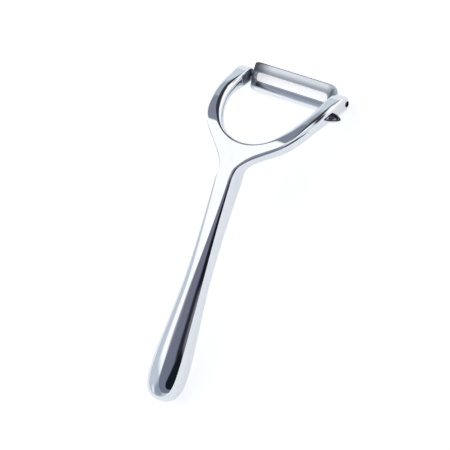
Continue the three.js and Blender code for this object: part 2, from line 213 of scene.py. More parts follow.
def casting_half(side):
    """Right half of the front (side 1) or the back (side -1): rows from butt to tip, columns from the
    inner to the outer rim. Height is the depth of the section times the rise of the rounded edge at each
    rim. The section is a half circle at the bulb and turns into a flat face with rounded edges along the
    neck and the fork. The arms' edges are rounder along their middle, and their tips are rounded off.
    Across, the lug is cut to its outer flat and hollowed inside to clear the turning blade."""
    across = np.linspace(0, 1, SECTION_POINTS)
    fork = ease((outer_rim[:, 1] - FLATTEN_FROM) / (elbow_outer[1] - FLATTEN_FROM))[:, None]
    share = (1 - fork) * np.sin(math.pi / 2 * across) + fork * (1 - np.cos(math.pi * across)) / 2
    flat = inner_rim[:, None] * (1 - share[..., None]) + outer_rim[:, None] * share[..., None]
    along = flat[..., 1]
    half_width = outer_rim[:, :1]
    fading = ease((along - tip_from + OUTER_SOFTER_SHORT) / OUTER_SOFTER_FADE)
    softer = ease((along - elbow_outer[1]) / SOFTER_GROWTH) * (1 - fading)
    arm_edge = ARM_EDGE + (OUTER_SOFTER_EDGE - ARM_EDGE) * softer
    arm_squareness = ARM_SQUARENESS + (OUTER_SOFTER_SQUARENESS - ARM_SQUARENESS) * softer
    edge = (1 - fork) * np.maximum(half_width, NEARLY_ZERO) + fork * arm_edge
    from_outer = (1 - fork) * (half_width - flat[..., 0]) + fork * rim_distance(flat, outer_rim)
    from_outer[:, -1] = 0
    from_inner = rim_distance(flat, fork_rim)
    from_inner[on_fork_rim, 0] = 0
    rise = edge_rise(from_outer, edge, 2 + (arm_squareness - 2) * fork)
    fading = ease((along - tip_from + INNER_SOFTER_SHORT) / INNER_SOFTER_FADE)
    softer = ease((along - CROTCH_AT) / SOFTER_GROWTH) * (1 - fading)
    inner_edge = ARM_EDGE + (INNER_SOFTER_EDGE - ARM_EDGE) * softer
    inner_squareness = ARM_SQUARENESS + (INNER_SOFTER_SQUARENESS - ARM_SQUARENESS) * softer
    rise = rise * edge_rise(from_inner, inner_edge, inner_squareness)
    swelling = ease((along - elbow_inner[1]) / (tip_from - elbow_inner[1]))
    arm = ARM_HALF_DEPTH + (LUG_HALF_DEPTH - ARM_HALF_DEPTH) * swelling
    thinning = ease((along - NECK_AT) / (CROTCH_AT - NECK_AT))
    depth = np.where(along <= NECK_AT, half_width, NECK_HALF_WIDTH + (arm - NECK_HALF_WIDTH) * thinning)
    rounding = TIP_ROUNDING_FRONT if side > 0 else TIP_ROUNDING_BACK
    past = np.clip((along - ARM_END + rounding) / rounding, 0, 1)
    points = bent(flat[..., 0], along, side * depth * rise * np.sqrt(1 - past ** 3))
    from_pivot = np.hypot(points[..., 1] - pivot[1], points[..., 2] - pivot[2])
    recess = LUG_FACE - RECESS_SLOPE * np.maximum(from_pivot - SWING_RADIUS + RECESS_FLARE, 0)
    trimmed = soft_least(points[..., 0], LUG_OUTER + 0 * along, LUG_EDGE)
    trimmed = -soft_least(-trimmed, -recess, LUG_EDGE)
    points[..., 0] = np.where(along > elbow_inner[1], trimmed, points[..., 0])
    return points


POINT_MERGE = 2e-7


def cleaned(mesh, sharp_degrees):
    """Merges points that lie together, drops faces with no area, turns the rest outwards and keeps the
    edges sharp that are steeper than the angle."""
    work = bmesh.new()
    work.from_mesh(mesh)
    bmesh.ops.remove_doubles(work, verts=work.verts, dist=POINT_MERGE)
    bmesh.ops.dissolve_degenerate(work, edges=work.edges, dist=POINT_MERGE)
    bmesh.ops.recalc_face_normals(work, faces=work.faces)
    work.to_mesh(mesh)
    work.free()
    mesh.shade_smooth()
    mesh.set_sharp_from_angle(angle=math.radians(sharp_degrees))


def skin(name, patches, sharp_degrees):
    """One object from grids of drawn points, each with its material: every grid cell is a face."""
    mesh = bpy.data.meshes.new(name)
    points = []
    faces = []
    slots = []
    count = 0
    for grid, material in patches:
        rows, columns = grid.shape[:2]
        row, column = np.meshgrid(np.arange(rows - 1), np.arange(columns - 1), indexing="ij")
        corner = (count + row * columns + column).ravel()
        faces.append(np.stack([corner, corner + 1, corner + columns + 1, corner + columns], axis=1))
        points.append(placed(grid.reshape(-1, 3)))
        if material.name not in mesh.materials:
            mesh.materials.append(material)
        slots.append(np.full(len(corner), mesh.materials.find(material.name)))
        count += rows * columns
    mesh.from_pydata(np.concatenate(points).tolist(), [], np.concatenate(faces).tolist())
    mesh.polygons.foreach_set("material_index", np.concatenate(slots).astype(np.int32))
    cleaned(mesh, sharp_degrees)
    made = bpy.data.objects.new(name, mesh)
    bpy.context.scene.collection.objects.link(made)
    return made


ROUND_POINTS = 97
DRILL_SHARP = 30


def drilled(target, radius, start, end, material, sharp_degrees):
    """Cuts a round hole about the pivot axis, from one place along X to the other: a closed drum of four
    rings, of which the two outer ones have no radius. The wall of the hole gets the drum's material."""
    angle = np.linspace(0, 2 * math.pi, ROUND_POINTS)
    rings = np.array([0, radius, radius, 0])[:, None]
    places = np.array([start, start, end, end])[:, None]
    drum = np.stack([
        places + 0 * angle,
        pivot[1] + rings * np.cos(angle),
        pivot[2] + rings * np.sin(angle),
    ], axis=-1)
    drill = skin("drill", [(drum, material)], DRILL_SHARP)
    cut = target.modifiers.new("hole", "BOOLEAN")
    cut.object = drill
    cut.solver = "EXACT"
    cut.material_mode = "TRANSFER"
    bpy.context.view_layer.update()
    finished = target.evaluated_get(bpy.context.evaluated_depsgraph_get())
    mesh = bpy.data.meshes.new_from_object(finished)
    cleaned(mesh, sharp_degrees)
    target.modifiers.clear()
    target.data = mesh
    bpy.data.objects.remove(drill)


def colour(hex_code):
    """Linear colour from an sRGB hex code."""
    parts = np.array([int(hex_code[i:i + 2], 16) for i in (1, 3, 5)]) / 255
    linear = np.where(parts <= 0.04045, parts / 12.92, ((parts + 0.055) / 1.055) ** 2.4)
    return (*linear.tolist(), 1.0)


# Sockets of a colour mix, which share their names with the sockets of other mixes
MIX_FIRST = 6
MIX_SECOND = 7
MIX_RESULT = 2


def add_node(tree, kind, settings, inputs):
    """Adds one shader node: its settings, then each input as a value or a link from another node."""
    node = tree.nodes.new(kind)
    for name, value in settings.items():
        setattr(node, name, value)
    for name, value in inputs.items():
        if isinstance(value, bpy.types.NodeSocket):
            tree.links.new(value, node.inputs[name])
        else:
            node.inputs[name].default_value = value
    return node


def new_material(name):
    """An empty material and its node tree."""
    made = bpy.data.materials.new(name)
    made.use_nodes = True
    made.node_tree.nodes.clear()
    return made, made.node_tree


# Bright decorative chrome on polished zinc: a near-perfect mirror, very slightly blue. The polishing
# leaves shallow waves some 9 mm across, and finger grease dulls it in faint patches of 3.5 mm.
POLISH_WAVE = 0.009
POLISH_WAVE_HEIGHT = 0.000006
SMUDGE_SIZE = 0.0035
chrome, tree = new_material("mirror_chrome_plate")
place = add_node(tree, "ShaderNodeTexCoord", {}, {}).outputs["Object"]
wave = add_node(tree, "ShaderNodeTexNoise", {}, {
    "Vector": place,
    "Scale": 1 / POLISH_WAVE,
    "Detail": 1.0,
}).outputs["Fac"]
smudge = add_node(tree, "ShaderNodeTexNoise", {}, {
    "Vector": place,
    "Scale": 1 / SMUDGE_SIZE,
    "Detail": 4.0,
}).outputs["Fac"]
sheen = add_node(tree, "ShaderNodeMapRange", {}, {
    "Value": smudge,
    "From Min": 0.35,
    "From Max": 0.75,
    "To Min": 0.015,
    "To Max": 0.05,
}).outputs["Result"]
tone = add_node(tree, "ShaderNodeMix", {"data_type": "RGBA"}, {
    "Factor": smudge,
    MIX_FIRST: colour("#EDEFF1"),
    MIX_SECOND: colour("#E2E6EA"),
}).outputs[MIX_RESULT]
relief = add_node(tree, "ShaderNodeBump", {}, {
    "Strength": 0.5,
    "Distance": POLISH_WAVE_HEIGHT,
    "Height": wave,
})
surface = add_node(tree, "ShaderNodeBsdfPrincipled", {}, {
    "Base Color": tone,
    "Metallic": 1.0,
    "Roughness": sheen,
    "Normal": relief.outputs["Normal"],
})
add_node(tree, "ShaderNodeOutputMaterial", {}, {"Surface": surface.outputs["BSDF"]})

# Bare zinc where the lugs are drilled after plating: dull grey, with turning marks left by the drill
# every 0.2 mm along the bore. A wave pattern of scale 1 repeats every 0.314 m.
WAVE_REPEAT = 0.314
DRILL_MARK = 0.0002
DRILL_MARK_HEIGHT = 0.00003
bare_zinc, tree = new_material("bare_drilled_zinc")
place = add_node(tree, "ShaderNodeTexCoord", {}, {}).outputs["Object"]
marks = add_node(tree, "ShaderNodeTexWave", {"bands_direction": "X"}, {
    "Vector": place,
    "Scale": WAVE_REPEAT / DRILL_MARK,
    "Distortion": 1.5,
}).outputs["Fac"]
relief = add_node(tree, "ShaderNodeBump", {}, {
    "Strength": 0.4,
    "Distance": DRILL_MARK_HEIGHT,
    "Height": marks,
})
surface = add_node(tree, "ShaderNodeBsdfPrincipled", {}, {
    "Base Color": colour("#5C6065"),
    "Metallic": 1.0,
    "Roughness": 0.5,
    "Normal": relief.outputs["Normal"],
})
add_node(tree, "ShaderNodeOutputMaterial", {}, {"Surface": surface.outputs["BSDF"]})

HEAD_BORE_RADIUS = 1.5
SHANK_BORE_RADIUS = 0.88
HEAD_BORE_DEPTH = 2.08
DRILL_OUTSIDE = 2.0
DRILL_INSIDE = 3.0
DRILL_OVERLAP = 0.5
MIRROR = np.array([-1.0, 1.0, 1.0])
CASTING_SHARP = 50
halves = [casting_half(1), casting_half(-1)]
skins = [(half * flip, chrome) for half in halves for flip in (1, MIRROR)]
casting = skin("chromed_casting", skins, CASTING_SHARP)
head_seat = LUG_OUTER - HEAD_BORE_DEPTH
head_end = LUG_OUTER + DRILL_OUTSIDE
shank_start = LUG_FACE - DRILL_INSIDE
shank_end = head_seat + DRILL_OVERLAP
for hand in (1, -1):
    drilled(casting, HEAD_BORE_RADIUS, hand * head_seat, hand * head_end, bare_zinc, CASTING_SHARP)
    drilled(casting, SHANK_BORE_RADIUS, hand * shank_start, hand * shank_end, bare_zinc, CASTING_SHARP)
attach(casting, "frame")
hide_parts("handle_fork")


# Eye gouge: a small pointed spoon cast on the outside of the right arm and plated with it.
# Its hollow faces the front, so that its lip digs the eyes out of a potato.
GOUGE_BELOW_PIVOT = 13.8
GOUGE_AHEAD = 1.5
GOUGE_REACH = 6.9
GOUGE_HALF_HEIGHT = 3.3
GOUGE_DEPTH = 2.5
GOUGE_WALL = 0.75
GOUGE_LIP = 0.3
GOUGE_SUNK = 0.3
GOUGE_POINT = 0.4
GOUGE_SHARP = 60
BOWL_POINTS = 25
LIP_POINTS = 11
arm_angle = lean_at(np.array(PIVOT_AT))
arm_up = np.array([0, math.cos(arm_angle), -math.sin(arm_angle)])
arm_front = np.array([0, math.sin(arm_angle), math.cos(arm_angle)])
gouge_middle = pivot - GOUGE_BELOW_PIVOT * arm_up + GOUGE_AHEAD * arm_front
gouge_middle[0] = LUG_OUTER - GOUGE_SUNK


def gouge_bowl(spread, forward):
    """Rings of a bowl about its middle: each is an ellipse drawn in towards its outer end, spread wide as
    a share of the rim and set forward of the rim's plane. Rows go round, columns from ring to ring."""
    around = np.linspace(0, 2 * math.pi, ROUND_POINTS)[:, None]
    pointed = 1 - GOUGE_POINT * np.maximum(np.cos(around), 0) ** 2
    out = GOUGE_REACH * spread * np.cos(around)
    up = GOUGE_HALF_HEIGHT * spread * np.sin(around) * pointed
    front = forward + 0 * around
    sideways = out[..., None] * (1, 0, 0)
    return gouge_middle + sideways + up[..., None] * arm_up + front[..., None] * arm_front


# The hollow and the lip are painted dark as shade, with a grain of 1.2 mm, and one spot in the hollow is
# painted bright as a highlight.
HOLLOW_GRAIN = 0.0012
HOLLOW_GRAIN_HEIGHT = 0.00002
SPOT_OUT = 2.6
SPOT_DEEP = 0.6 * GOUGE_DEPTH
SPOT_BRIGHT_TO = 0.0006
SPOT_DARK_FROM = 0.0015
painted_hollow, tree = new_material("hollow_painted_shade_and_highlight")
place = add_node(tree, "ShaderNodeTexCoord", {}, {}).outputs["Object"]
# Place of the painted highlight in the hollow
highlight_spot = placed(gouge_middle + (SPOT_OUT, 0, 0) - SPOT_DEEP * arm_front)
from_spot = add_node(tree, "ShaderNodeVectorMath", {"operation": "DISTANCE"}, {
    0: place,
    1: highlight_spot.tolist(),
}).outputs["Value"]
grain = add_node(tree, "ShaderNodeTexNoise", {}, {
    "Vector": place,
    "Scale": 1 / HOLLOW_GRAIN,
    "Detail": 3.0,
}).outputs["Fac"]
dark = add_node(tree, "ShaderNodeMapRange", {"interpolation_type": "SMOOTHSTEP"}, {
    "Value": from_spot,
    "From Min": SPOT_BRIGHT_TO,
    "From Max": SPOT_DARK_FROM,
    "To Min": 0.0,
    "To Max": 1.0,
}).outputs["Result"]
# Painted shade over the hollow and the lip, with a painted highlight at the spot
tone = add_node(tree, "ShaderNodeMix", {"data_type": "RGBA"}, {
    "Factor": dark,
    MIX_FIRST: colour("#F2F2F4"),
    MIX_SECOND: colour("#55545C"),
}).outputs[MIX_RESULT]
sheen = add_node(tree, "ShaderNodeMapRange", {}, {
    "Value": dark,
    "To Min": 0.45,
    "To Max": 0.16,
}).outputs["Result"]
relief = add_node(tree, "ShaderNodeBump", {}, {
    "Strength": 0.5,
    "Distance": HOLLOW_GRAIN_HEIGHT,
    "Height": grain,
})
surface = add_node(tree, "ShaderNodeBsdfPrincipled", {}, {
    "Base Color": tone,
    "Metallic": 1.0,
    "Roughness": sheen,
    "Normal": relief.outputs["Normal"],
})
add_node(tree, "ShaderNodeOutputMaterial", {}, {"Surface": surface.outputs["BSDF"]})

slope = np.linspace(0, math.pi / 2, BOWL_POINTS)
lip = np.linspace(0, math.pi, LIP_POINTS)
wall_share = GOUGE_WALL / 2 / GOUGE_HALF_HEIGHT
outside = gouge_bowl(np.sin(slope), -GOUGE_DEPTH * np.cos(slope))
over_lip = gouge_bowl(1 - wall_share + wall_share * np.cos(lip), GOUGE_LIP * np.sin(lip))
inward = slope[::-1]
hollow = gouge_bowl((1 - 2 * wall_share) * np.sin(inward), (GOUGE_WALL - GOUGE_DEPTH) * np.cos(inward))
gouge = skin("eye_gouge", [(outside, chrome), (over_lip, painted_hollow), (hollow, painted_hollow)], GOUGE_SHARP)
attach(gouge, "frame")


# Blade: a stamped strip of stainless steel, turned down along its edges and folded at its ends into ears.
# A long slot with ground edges cuts the peel. The ears turn on the pins between the lugs.
BLADE_LENGTH = 50.5
BLADE_HALF_WIDTH = 7.1
BLADE_THICKNESS = 0.9
BLADE_CROWN = 0.3
BLADE_FLAT_HALF = 4.4
BLADE_EDGE_DROP = 0.75
BLADE_LIFT = 2.2
BLADE_TILT = math.radians(7)
BEND_RADIUS = 2.0
CORNER_RUN = 2.0
EAR_REACH = 2.15
EAR_END_HALF = 2.4
SLOT_LENGTH = 44.5
SLOT_WIDTH = 4.3
EDGE_BEVEL = 0.6
EDGE_RADIUS = 0.16
BLADE_SHARP = 32
CAP_POINTS = 41
SIDE_POINTS = 25
END_POINTS = 10
RUN_POINTS = 4
EAR_POINTS = CAP_POINTS - END_POINTS - RUN_POINTS
STRIP_POINTS = 41
ROUNDING_POINTS = 7
BEVEL_POINTS = 6
ear_length = EAR_REACH + BLADE_LIFT - BEND_RADIUS
fold_length = math.pi / 2 * BEND_RADIUS
face_half = BLADE_LENGTH / 2 - BEND_RADIUS
path_half = face_half + fold_length + ear_length
slot_middle = SLOT_LENGTH / 2 - SLOT_WIDTH / 2


def whole_rim(quarter):
    """A closed outline from its first quarter, mirrored left and then down."""
    upper = np.concatenate([quarter, quarter[-2::-1] * (-1, 1)])
    return np.concatenate([upper, upper[-2::-1] * (1, -1)])


def slot_rim(grow):
    """Outline of the slot, a stadium grown by so much all round, from its right end by the top."""
    radius = SLOT_WIDTH / 2 + grow
    angle = np.linspace(0, math.pi / 2, CAP_POINTS)
    cap = np.stack([slot_middle + radius * np.cos(angle), radius * np.sin(angle)], axis=1)
    side_x = np.linspace(slot_middle, 0, SIDE_POINTS)[1:]
    side = np.stack([side_x, np.full(len(side_x), radius)], axis=1)
    return whole_rim(np.concatenate([cap, side]))


def sheet_rim():
    """Outline of the strip laid flat, matched point by point to the slot's: a short straight end, a
    quarter of an ellipse from the ear's end to the face, and the straight long side."""
    run = ear_length + fold_length + CORNER_RUN
    angle = np.linspace(0, math.pi / 2, EAR_POINTS)
    end_y = np.linspace(0, EAR_END_HALF, END_POINTS + 1)[:-1]
    end = np.stack([np.full(END_POINTS, path_half), end_y], axis=1)
    ear_x = path_half - run * (1 - np.cos(angle))
    ear_y = EAR_END_HALF + (BLADE_HALF_WIDTH - EAR_END_HALF) * np.sin(angle)
    ear = np.stack([ear_x, ear_y], axis=1)
    side_x = np.concatenate([
        np.linspace(path_half - run, slot_middle, RUN_POINTS + 1)[1:],
        np.linspace(slot_middle, 0, SIDE_POINTS)[1:],
    ])
    side = np.stack([side_x, np.full(len(side_x), BLADE_HALF_WIDTH)], axis=1)
    return whole_rim(np.concatenate([end, ear, side]))


def folded(flat, inset):
    """The flat strip folded: along the face, round the bend and down the ear, inset from its front.
    Across, it bends back a little as a parabola, and more where the edges are turned down."""
    side = np.sign(flat[..., 0])
    past_face = np.abs(flat[..., 0]) - face_half
    bend = np.clip(past_face / BEND_RADIUS, 0, math.pi / 2)
    down = np.maximum(past_face - fold_length, 0)
    reach = np.minimum(np.abs(flat[..., 0]), face_half) + (BEND_RADIUS - inset) * np.sin(bend)
    past_flat = np.maximum(np.abs(flat[..., 1]) - BLADE_FLAT_HALF, 0)
    turned = past_flat / (BLADE_HALF_WIDTH - BLADE_FLAT_HALF)
    bow = BLADE_CROWN * (flat[..., 1] / BLADE_HALF_WIDTH) ** 2 + BLADE_EDGE_DROP * turned ** 2
    height = BLADE_LIFT - BEND_RADIUS + (BEND_RADIUS - inset) * np.cos(bend) - down - bow
    y = flat[..., 1] * math.cos(BLADE_TILT) - height * math.sin(BLADE_TILT)
    z = flat[..., 1] * math.sin(BLADE_TILT) + height * math.cos(BLADE_TILT)
    return np.stack([side * reach, pivot[1] + y, pivot[2] + z], axis=-1)


def strip_points(front_rim, back_rim, outer):
    """Closed ring of strip: rows go round the slot, columns from the slot over the front, round the
    rounded outer edge and back under the strip to the slot."""
    length = np.linalg.norm(outer - front_rim, axis=1)[:, None]
    across = np.linspace(0, 1, STRIP_POINTS)[:-1]
    quarter = np.linspace(0, math.pi / 2, ROUNDING_POINTS)
    edge_out = 1 - EDGE_RADIUS * (1 - np.sin(quarter)) / length
    edge_in = EDGE_RADIUS * (1 - np.cos(quarter))
    plain = across * (1 - EDGE_RADIUS / length)
    share = np.concatenate([plain, edge_out, edge_out[:, ::-1], plain[:, ::-1]], axis=1)
    inset_front = np.concatenate([0 * across, edge_in])
    inset = np.concatenate([inset_front, BLADE_THICKNESS - inset_front[::-1]])
    under = np.repeat([0, 1], len(inset_front))[:, None]
    inner = front_rim[:, None] * (1 - under) + back_rim[:, None] * under
    return folded(inner + share[..., None] * (outer[:, None] - inner), inset)


def bevel_points(front_rim, back_rim):
    """Ground bevel round the slot: straight from the wide rim in front to the cutting edge behind."""
    share = np.linspace(0, 1, BEVEL_POINTS)
    flat = front_rim[:, None] * (1 - share[:, None]) + back_rim[:, None] * share[:, None]
    return folded(flat, BLADE_THICKNESS * share)


# Stainless strip, rolled and buffed: a soft mirror with a fine grain along it, duller on the bends.
# It is greyer beside the slot. A dark reflection is painted on the left end of the far side, and
# highlights are painted along the turned-down edges, the near one brightest. The real grain is some 0.05
# mm wide, and it is drawn 0.35 mm wide so that it shows. Places are metres from the blade's middle.
GRAIN_WIDTH = 0.00035
GRAIN_LENGTH = 0.012
GRAIN_HEIGHT = 0.000006
DULLER_FROM = 0.0205
DULLER_TO = 0.0235
SLOT_GREYEST_TO = 0.0028
SLOT_GREY_ENDS = 0.0052
EDGE_HIGHLIGHT_FROM = 0.0050
EDGE_HIGHLIGHT_TO = 0.0062
NEAR_HIGHLIGHT_FROM = -0.0046
NEAR_HIGHLIGHT_TO = -0.0062
LEFT_REFLECTION_FROM = -0.0120
LEFT_REFLECTION_TO = -0.0235
FAR_REFLECTION_FROM = 0.001
FAR_REFLECTION_TO = 0.003
steel, tree = new_material("buffed_stainless_strip")
place = add_node(tree, "ShaderNodeTexCoord", {}, {}).outputs["Object"]
stretched = add_node(tree, "ShaderNodeMapping", {}, {
    "Vector": place,
    "Scale": (1 / GRAIN_LENGTH, 1 / GRAIN_WIDTH, 1 / GRAIN_WIDTH),
}).outputs["Vector"]
grain = add_node(tree, "ShaderNodeTexNoise", {}, {
    "Vector": stretched,
    "Scale": 1.0,
    "Detail": 3.0,
}).outputs["Fac"]
from_middle = add_node(tree, "ShaderNodeVectorMath", {"operation": "SUBTRACT"}, {
    0: place,
    1: rest_pivot.tolist(),
}).outputs["Vector"]
along = add_node(tree, "ShaderNodeSeparateXYZ", {}, {"Vector": from_middle}).outputs["X"]
either_end = add_node(tree, "ShaderNodeMath", {"operation": "ABSOLUTE"}, {0: along}).outputs[0]
duller = add_node(tree, "ShaderNodeMapRange", {"interpolation_type": "SMOOTHSTEP"}, {
    "Value": either_end,
    "From Min": DULLER_FROM,
    "From Max": DULLER_TO,
    "To Min": 0.0,
    "To Max": 0.28,
}).outputs["Result"]
buffed = add_node(tree, "ShaderNodeMapRange", {}, {
    "Value": grain,
    "From Min": 0.3,
    "From Max": 0.7,
    "To Min": 0.10,
    "To Max": 0.18,
}).outputs["Result"]
sheen = add_node(tree, "ShaderNodeMath", {"operation": "ADD"}, {0: buffed, 1: duller}).outputs[0]
across_blade = turn @ (0, math.cos(BLADE_TILT), math.sin(BLADE_TILT))
across = add_node(tree, "ShaderNodeVectorMath", {"operation": "DOT_PRODUCT"}, {
    0: from_middle,
    1: across_blade.tolist(),
}).outputs["Value"]
either_side = add_node(tree, "ShaderNodeMath", {"operation": "ABSOLUTE"}, {0: across}).outputs[0]
less_grey = add_node(tree, "ShaderNodeMapRange", {}, {
    "Value": either_side,
    "From Min": SLOT_GREYEST_TO,
    "From Max": SLOT_GREY_ENDS,
}).outputs["Result"]
# Greyer beside the slot, paler further out
face_tone = add_node(tree, "ShaderNodeMix", {"data_type": "RGBA"}, {
    "Factor": less_grey,
    MIX_FIRST: colour("#9CA0A8"),
    MIX_SECOND: colour("#C0C6CE"),
}).outputs[MIX_RESULT]
# Painted highlight along both turned-down edges
edge_highlight = add_node(tree, "ShaderNodeMapRange", {"interpolation_type": "SMOOTHSTEP"}, {
    "Value": either_side,
    "From Min": EDGE_HIGHLIGHT_FROM,
    "From Max": EDGE_HIGHLIGHT_TO,
}).outputs["Result"]
edge_highlight_tone = add_node(tree, "ShaderNodeMix", {"data_type": "RGBA"}, {
    "Factor": edge_highlight,
    MIX_FIRST: face_tone,
    MIX_SECOND: colour("#D3D6DC"),
}).outputs[MIX_RESULT]
# Brighter painted highlight along the near turned-down edge
near_edge_highlight = add_node(tree, "ShaderNodeMapRange", {"interpolation_type": "SMOOTHSTEP"}, {
    "Value": across,
    "From Min": NEAR_HIGHLIGHT_TO,
    "From Max": NEAR_HIGHLIGHT_FROM,
    "To Min": 1.0,
    "To Max": 0.0,
}).outputs["Result"]
highlighted_tone = add_node(tree, "ShaderNodeMix", {"data_type": "RGBA"}, {
    "Factor": near_edge_highlight,
    MIX_FIRST: edge_highlight_tone,
    MIX_SECOND: colour("#F6F7F8"),
}).outputs[MIX_RESULT]
# Painted dark reflection on the left end of the far side
at_left = add_node(tree, "ShaderNodeMapRange", {"interpolation_type": "SMOOTHSTEP"}, {
    "Value": along,
    "From Min": LEFT_REFLECTION_TO,
    "From Max": LEFT_REFLECTION_FROM,
    "To Min": 1.0,
    "To Max": 0.0,
}).outputs["Result"]
far_side = add_node(tree, "ShaderNodeMapRange", {}, {
    "Value": across,
    "From Min": FAR_REFLECTION_FROM,
    "From Max": FAR_REFLECTION_TO,
}).outputs["Result"]
painted_dark_reflection = add_node(tree, "ShaderNodeMath", {"operation": "MULTIPLY"}, {
    0: at_left,
    1: far_side,
}).outputs[0]
tone = add_node(tree, "ShaderNodeMix", {"data_type": "RGBA"}, {
    "Factor": painted_dark_reflection,
    MIX_FIRST: highlighted_tone,
    MIX_SECOND: colour("#50545E"),
}).outputs[MIX_RESULT]
relief = add_node(tree, "ShaderNodeBump", {}, {
    "Strength": 0.15,
    "Distance": GRAIN_HEIGHT,
    "Height": grain,
})
surface = add_node(tree, "ShaderNodeBsdfPrincipled", {}, {
    "Base Color": tone,
    "Metallic": 1.0,
    "Roughness": sheen,
    "Normal": relief.outputs["Normal"],
})
add_node(tree, "ShaderNodeOutputMaterial", {}, {"Surface": surface.outputs["BSDF"]})

# Ground cutting edge: the same steel fresh from the wheel, greyer, with grinding lines across the edge
# every 0.3 mm, coarser than real ones so that they show.
GRIND_LINE = 0.0003
GRIND_HEIGHT = 0.00001
ground, tree = new_material("wheel_ground_steel")
place = add_node(tree, "ShaderNodeTexCoord", {}, {}).outputs["Object"]
lines = add_node(tree, "ShaderNodeTexWave", {"bands_direction": "X"}, {
    "Vector": place,
    "Scale": WAVE_REPEAT / GRIND_LINE,
    "Distortion": 3.0,
    "Detail": 2.0,
}).outputs["Fac"]
sheen = add_node(tree, "ShaderNodeMapRange", {}, {
    "Value": lines,
    "To Min": 0.22,
    "To Max": 0.34,
}).outputs["Result"]
relief = add_node(tree, "ShaderNodeBump", {}, {
    "Strength": 0.3,
    "Distance": GRIND_HEIGHT,
    "Height": lines,
})
surface = add_node(tree, "ShaderNodeBsdfPrincipled", {}, {
    "Base Color": colour("#B4B8BF"),
    "Metallic": 1.0,
    "Roughness": sheen,
    "Normal": relief.outputs["Normal"],
})
add_node(tree, "ShaderNodeOutputMaterial", {}, {"Surface": surface.outputs["BSDF"]})

wide_slot = slot_rim(EDGE_BEVEL)
cutting_slot = slot_rim(0)
strip = strip_points(wide_slot, cutting_slot, sheet_rim())
bevel = bevel_points(wide_slot, cutting_slot)
blade = skin("slotted_blade", [(strip, steel), (bevel, ground)], BLADE_SHARP)
drilled(blade, SHANK_BORE_RADIUS, -BLADE_LENGTH, BLADE_LENGTH, steel, BLADE_SHARP)
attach(blade, "blade")
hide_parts("blade")


# Pivot pins: turned steel with a flat head, pressed into the lugs from outside.
# The head sits a little below the lug's flat, and the shank reaches through the blade's ear.
PIN_CLEARANCE = 0.08
PIN_RADIUS = SHANK_BORE_RADIUS - PIN_CLEARANCE
PIN_HEAD_RADIUS = HEAD_BORE_RADIUS - PIN_CLEARANCE
PIN_HEAD_LENGTH = 1.1
PIN_HEAD_SINK = 0.9
PIN_PAST_EAR = 0.6
PIN_CHAMFER = 0.2
PIN_SHARP = 35
CHAMFER_POINTS = 6
pin_start = BLADE_LENGTH / 2 - BLADE_THICKNESS - PIN_PAST_EAR
pin_end = LUG_OUTER - PIN_HEAD_SINK


def pin_points(hand):
    """Lathe of the pin's profile about the pivot axis, rows round it and columns from tip to head:
    rounded tip, shank, shoulder, rounded head."""
    shoulder = pin_end - PIN_HEAD_LENGTH
    quarter = np.linspace(0, math.pi / 2, CHAMFER_POINTS)
    turned_in = PIN_CHAMFER * (1 - np.sin(quarter))
    drawn_back = PIN_CHAMFER * (1 - np.cos(quarter))
    tip = np.stack([PIN_RADIUS - turned_in, pin_start + drawn_back], axis=1)
    rim = np.stack([PIN_HEAD_RADIUS - drawn_back, pin_end - turned_in], axis=1)
    corners = [(PIN_RADIUS, shoulder), (PIN_HEAD_RADIUS, shoulder)]
    profile = np.concatenate([[(0, pin_start)], tip, corners, rim, [(0, pin_end)]])
    radius, along = profile.T
    angle = np.linspace(0, 2 * math.pi, ROUND_POINTS)[:, None]
    y = pivot[1] + radius * np.cos(angle)
    z = pivot[2] + radius * np.sin(angle)
    return np.stack([hand * along + 0 * angle, y, z], axis=-1)


# Turned steel, dark from its oil bath and darkened further as painted shade of the lug's recess: satin,
# with rings left by the tool on the head. Real rings lie 0.05 mm apart, and they are drawn 0.25 mm apart
# so that they show.
RING_SPACING = 0.00025
RING_HEIGHT = 0.00002
pin_steel, tree = new_material("dark_turned_steel_and_painted_shade")
place = add_node(tree, "ShaderNodeTexCoord", {}, {}).outputs["Object"]
centred = add_node(tree, "ShaderNodeMapping", {"vector_type": "TEXTURE"}, {
    "Vector": place,
    "Location": rest_pivot.tolist(),
}).outputs["Vector"]
rings = add_node(tree, "ShaderNodeTexWave", {"wave_type": "RINGS", "rings_direction": "X"}, {
    "Vector": centred,
    "Scale": WAVE_REPEAT / RING_SPACING,
    "Distortion": 0.4,
}).outputs["Fac"]
# Dark tone: the steel's own, darkened further as painted shade of the recess
tone = add_node(tree, "ShaderNodeMix", {"data_type": "RGBA"}, {
    "Factor": rings,
    MIX_FIRST: colour("#6C7075"),
    MIX_SECOND: colour("#5A5D62"),
}).outputs[MIX_RESULT]
sheen = add_node(tree, "ShaderNodeMapRange", {}, {
    "Value": rings,
    "To Min": 0.28,
    "To Max": 0.42,
}).outputs["Result"]
relief = add_node(tree, "ShaderNodeBump", {}, {
    "Strength": 0.3,
    "Distance": RING_HEIGHT,
    "Height": rings,
})
surface = add_node(tree, "ShaderNodeBsdfPrincipled", {}, {
    "Base Color": tone,
    "Metallic": 1.0,
    "Roughness": sheen,
    "Normal": relief.outputs["Normal"],
})
add_node(tree, "ShaderNodeOutputMaterial", {}, {"Surface": surface.outputs["BSDF"]})

for hand, node in ((-1, "left_pivot_pin"), (1, "right_pivot_pin")):
    pin = skin(node.replace("pivot", "turned"), [(pin_points(hand), pin_steel)], PIN_SHARP)
    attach(pin, "frame")
    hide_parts(node)


